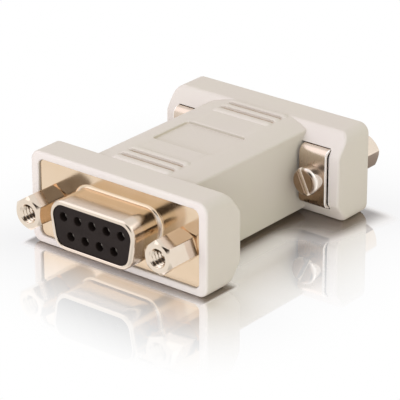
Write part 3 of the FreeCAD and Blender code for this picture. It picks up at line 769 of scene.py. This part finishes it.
nylon, shader = new_material("black_nylon")
fibre = shader.noise(2600.0, 5.0)
shade = shader.noise(420.0, 2.0)
shader.surface({"Base Color": shader.blend(shade, (0.011, 0.007, 0.0055, 1), (0.021, 0.015, 0.012, 1)),
                "Roughness": fibre * 0.25 + 0.4, "Specular IOR Level": 0.14,
                "Normal": shader.relief(fibre, 0.3, 0.02)})

for end in ("front", "rear"):
    block = make_face_insulator(end)
    block.data.materials.append(nylon)
    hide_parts(end + "_face_insulator")
    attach(block, "root")


# Socket contacts
# Nine sockets at each end, gold flashed: a bored barrel with a countersunk mouth and a square
# solder tail that reaches the circuit board.

barrel_radius = 0.78
barrel_end = 2.4
bore_radius = 0.52
bore_depth = 5.35
drill_point = 0.25
edge_break = 0.05
tail_half = 0.5
tail_end = 10.6


def make_contact(name, end, x, z):
    """A turned barrel, then a tail whose edge lies at half its side / the larger of |cos a|, |sin a|."""
    barrel = [(contact_front + bore_depth + drill_point, 0), (contact_front + bore_depth, bore_radius),
              (contact_front + 0.16, bore_radius), (contact_front + 0.02, 0.66), (contact_front, 0.7),
              (contact_front + 0.02, 0.75), (contact_front + 0.07, barrel_radius),
              (barrel_end - edge_break, barrel_radius), (barrel_end, barrel_radius - edge_break)]
    angle = np.linspace(0, 2 * np.pi, 32, endpoint=False)
    unit = np.stack([np.cos(angle), np.sin(angle)], 1)
    square = tail_half * unit / np.abs(unit).max(1)[:, None]
    tail = np.stack([at_level(square, barrel_end), at_level(square, tail_end - 0.1),
                     at_level(square * 0.8, tail_end), at_level(square * 0, tail_end)])
    piece = skin_piece(name, [seat(np.concatenate([turned_grid(barrel), tail]), end, x, z)])
    smooth(piece, angle=32)
    return piece


# The contacts are gold flashed, but their colour is a painted shade: dark grey, as they lie in shadow
# deep in their holes.
gold, shader = new_material("gold_flash_painted_shade")
turning = shader.noise(1800.0, 3.0)
shader.surface({"Base Color": shader.blend(turning, (0.14, 0.125, 0.11, 1), (0.20, 0.18, 0.16, 1)),
                "Metallic": 1.0, "Roughness": turning * 0.15 + 0.2})

for end in ("front", "rear"):
    for number, (x, z) in enumerate(contact_places, 1):
        contact = make_contact("%s_pin_socket_%d" % (end, number), end, x, z)
        contact.data.materials.append(gold)
        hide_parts("%s_contact_%d" % (end, number))
        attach(contact, "root")


# Jack sockets
# Hexagonal bar, faced and chamfered at both ends, tapped for a mating hood's screws and nickel
# plated. The chamfer is a cone, so it leaves curved lines on the flats.

across_flats = 4.75
corner_radius = 0.12
face_radius = 2.22
chamfer = 0.4
pitch = 0.635
tapped_start = 0.06
tapped_depth = 3.37
thread_crest = 1.19
thread_depth = 0.29
thread_mouth = 1.55
mouth_slope = 0.9
plain_bore = 1.43


def thread_tooth(y, angle):
    """0 between the turns of a thread and 1 on them: a triangle wave of y / pitch - angle / one turn."""
    phase = np.mod(y / pitch - angle / (2 * np.pi), 1)
    return 1 - np.abs(2 * phase - 1)


def rings_round(unit, y, radius):
    """Rings at levels y (rows, 1) with a radius for each point: (r * across, y, r * up)."""
    y, radius = np.broadcast_arrays(y, radius)
    return np.stack([unit[:, 0] * radius, y, unit[:, 1] * radius], -1)


def make_jack_socket(name, end, x, turn):
    """A hexagonal bar as rings that run in at the flange, out along the flats and back in the bore.

    The cone's depth at a point is chamfer * (its radius - face radius) / (corner - face radius), and
    the bore is the thread or the cone of the mouth, whichever is wider.
    """
    corner = across_flats / 2 / math.cos(math.pi / 6)
    angles = np.radians(np.arange(6) * 60 + 30)
    hexagon = [(corner * math.cos(angle), corner * math.sin(angle), corner_radius) for angle in angles]
    # Points along each flat make the cone's line on it a curve.
    outline = divide_sides(rounded_outline(hexagon, 0, 4), 0.22)
    radius = np.hypot(outline[:, 0], outline[:, 1])
    unit = outline / radius[:, None]
    depth = chamfer * (radius - face_radius) / (corner - face_radius)
    body = [at_level(unit * face_radius, flange_face), at_level(outline, flange_face - depth),
            at_level(outline, collar_front + depth), at_level(unit * face_radius, collar_front),
            at_level(unit * thread_mouth, collar_front)]
    y = np.arange(tapped_start, tapped_depth + 0.03, pitch / 10)[:, None]
    tooth = thread_tooth(y, np.arctan2(unit[:, 1], unit[:, 0]))
    thread = thread_crest + thread_depth * np.clip(1.25 * tooth - 0.1, 0, 1)
    bore = np.maximum(thread, thread_mouth - 0.02 - mouth_slope * y)
    end_of_bore = [at_level(unit * plain_bore, collar_front + tapped_depth),
                   at_level(unit * plain_bore, flange_face)]
    rings = np.concatenate([body, rings_round(unit, collar_front + y, bore), end_of_bore])
    piece = skin_piece(name, [seat(rings, end, x, 0, turn)], True)
    smooth(piece, angle=32)
    return piece


plated, shader = new_material("plated_bar")
wave = shader.noise(500.0, 2.0)
haze = shader.noise(2400.0, 3.0)
shader.surface({"Base Color": shader.blend(wave, (0.78, 0.655, 0.53, 1), (0.82, 0.72, 0.61, 1)),
                "Metallic": 1.0, "Roughness": haze * 0.1 + 0.05,
                "Normal": shader.relief(wave, 0.3, 0.02)})

sides = {"front": {"left": -fixing_x, "right": fixing_x}, "rear": {"left": fixing_x, "right": -fixing_x}}
socket_turns = {"front_left": 4, "front_right": 12, "rear_left": 22, "rear_right": 15}
for corner, turn in socket_turns.items():
    end, side = corner.split("_")
    bar = make_jack_socket(corner + "_hex_socket", end, sides[end][side], turn)
    bar.data.materials.append(plated)
    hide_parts(corner + "_jack_socket")
    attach(bar, "root")


# Brackets
# A strip of plated steel folded into a U in each tunnel, with rolled edges and one hole. It
# carries the pull of a jack socket to the flange.

bracket_face = wing_inner + 0.75
bracket_foot = 1.4
bracket_hole = 1.55
strip_width = 5.0
strip_height = 9.75
strip_rise = 0.08
strip_sheet = 0.55
strip_edge = 0.11
strip_bend = 1.3


def make_bracket(name, end, x):
    """A strip carried along a U: each point of its section lies at the path + its height * the normal."""
    middle = strip_bend - strip_sheet / 2
    half = strip_height / 2 - strip_sheet / 2
    back = bracket_face - strip_sheet / 2
    bend = np.radians(np.linspace(0, 90, 10))
    outward = np.stack([np.sin(bend), np.cos(bend)], 1)
    upper = (back - middle, half - middle) + middle * outward
    path = np.concatenate([[(bracket_foot, half)], upper, upper[::-1] * (1, -1), [(bracket_foot, -half)]])
    normal = np.concatenate([[(0, 1)], outward, outward[::-1] * (1, -1), [(0, -1)]])
    section = rounded_outline(rectangle(strip_width, strip_sheet, strip_edge), 0, 5)
    y, z = (path[:, i, None] + normal[:, i, None] * section[:, 1] for i in (0, 1))
    strip = np.stack([np.broadcast_to(section[:, 0], y.shape), y, z + strip_rise], -1)
    caps = strip.mean(1, keepdims=True).repeat(len(section), 1)
    piece = skin_piece(name, [seat(np.concatenate([caps[:1], strip, caps[-1:]]), end, x)])
    drill = rod_grid(bracket_face - 1.5, bracket_face + 1, bracket_hole)
    combine(piece, "DIFFERENCE", [drill], end, x)
    smooth(piece, angle=32)
    return piece


strip_steel, shader = new_material("plated_strip")
scuff = shader.noise(1500.0, 4.0, (1.0, 1.0, 0.12))
beside, height = shader.axes("XZ")
# Painted shade makes the plate dark below and painted light makes it pale above, and along the cut
# outer edges bare steel carries a painted highlight.
lower = shader.blend(scuff, (0.32, 0.21, 0.14, 1), (0.40, 0.28, 0.19, 1))
upper = shader.blend(scuff, (0.68, 0.56, 0.46, 1), (0.76, 0.65, 0.55, 1))
tint = shader.blend((height * 0.192 - 1.3).clamped(), lower, upper)
tint = shader.blend(abs(beside).past(14.8, 0.1), tint, (0.97, 0.93, 0.89, 1))
shader.surface({"Base Color": tint, "Metallic": 1.0, "Roughness": scuff * 0.2 + 0.16,
                "Normal": shader.relief(scuff, 0.3, 0.01)})

for end in sides:
    for side, x in sides[end].items():
        strip = make_bracket("%s_%s_u_bracket" % (end, side), end, x)
        strip.data.materials.append(strip_steel)
        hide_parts("%s_%s_bracket" % (end, side))
        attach(strip, "root")


# Screws
# Slotted cheese-head screws, cold headed and plated, drive through the brackets into the jack
# sockets. The head's edge is rounded and its shank is threaded.

head_radius = 2.25
head_top = bracket_face + 2.2
crown_rounding = 0.7
foot_rounding = 0.08
shank_top = 1.4
shank_root = 1.16
shank_depth = 0.24
shank_tip = flange_face - 2.8
slot_half = 0.375
slot_floor = head_top - 0.85
slot_flare = 1.35


def make_screw(name, end, x, turn):
    """A turned head, then a shank whose radius is root + depth * thread_tooth, and a slot cut across."""
    segments = 64
    crown = quarter((head_top, head_radius - crown_rounding), (head_top - crown_rounding, head_radius),
                    (head_top, head_radius), 10)
    foot = quarter((bracket_face + foot_rounding, head_radius),
                   (bracket_face, head_radius - foot_rounding), (bracket_face, head_radius), 3)
    head = [(head_top + 0.04, 0), (head_top + 0.03, 0.9)] + crown.tolist() + foot.tolist()
    angle = np.linspace(0, 2 * np.pi, segments, endpoint=False)
    unit = np.stack([np.cos(angle), np.sin(angle)], 1)
    y = np.arange(bracket_face - 0.1, shank_tip + 0.3, -pitch / 8)[:, None]
    rows = [turned_grid(head + [(bracket_face, shank_top)], segments),
            rings_round(unit, y, shank_root + shank_depth * thread_tooth(y, angle)),
            turned_grid([(shank_tip, 0.95), (shank_tip, 0)], segments)]
    piece = skin_piece(name, [seat(np.concatenate(rows), end, x, 0, turn)])
    corners = np.array([(-slot_half, -4), (slot_half, -4), (slot_half, 4), (-slot_half, 4)])
    flared = corners * (slot_flare, 1)
    slot = [at_level(corners * (1, 0), slot_floor), at_level(corners, slot_floor),
            at_level(corners, head_top - 0.1), at_level(flared, head_top + 0.06),
            at_level(flared, head_top + 0.5), at_level(corners * (1, 0), head_top + 0.5)]
    combine(piece, "DIFFERENCE", [np.stack(slot)], end, x, 0, turn)
    smooth(piece, angle=32)
    return piece


screw_steel, shader = new_material("plated_screw")
wear = shader.noise(900.0, 4.0)
depth = abs(shader.axes("Y")[0])
# The heads' faces are worn and darkened by a painted shade, and their sides are pale with a painted
# highlight.
tint = shader.blend(wear, (0.27, 0.175, 0.11, 1), (0.42, 0.30, 0.215, 1))
tint = shader.blend(depth.past(9.1, 0.4), tint, (0.92, 0.85, 0.78, 1))
shader.surface({"Base Color": tint, "Metallic": 1.0, "Roughness": wear * 0.16 + 0.12,
                "Normal": shader.relief(wear, 0.3, 0.02)})

screw_turns = {"front_left": 72, "front_right": -38, "rear_left": 12, "rear_right": -25.5}
for corner, turn in screw_turns.items():
    end, side = corner.split("_")
    screw = make_screw(corner + "_slotted_screw", end, sides[end][side], turn)
    screw.data.materials.append(screw_steel)
    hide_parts(corner + "_screw")
    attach(screw, "root")


# Enclosed pieces
# Back shells, rear insulators, circuit board and the block moulded round the joints lie inside
# the housing. They keep their own solids and take the finish of their material.

board_mask, shader = new_material("solder_mask")
weave = shader.noise(1600.0, 2.0)
shader.surface({"Base Color": shader.blend(weave, (0.012, 0.085, 0.03, 1), (0.02, 0.12, 0.045, 1)),
                "Roughness": weave * 0.1 + 0.3})

inner_pe, shader = new_material("inner_polythene")
flow = shader.noise(300.0, 2.0)
shader.surface({"Base Color": shader.blend(flow, (0.62, 0.61, 0.57, 1), (0.72, 0.71, 0.67, 1)),
                "Roughness": flow * 0.1 + 0.45})

enclosed = {"inner_mould": inner_pe, "circuit_board": board_mask,
            "front_back_shell": nickel, "rear_back_shell": nickel,
            "front_base_insulator": nylon, "rear_base_insulator": nylon}
for node, material in enclosed.items():
    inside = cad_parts[node]
    inside.data.materials.clear()
    inside.data.materials.append(material)

bpy.context.scene.view_settings.view_transform = "Standard"
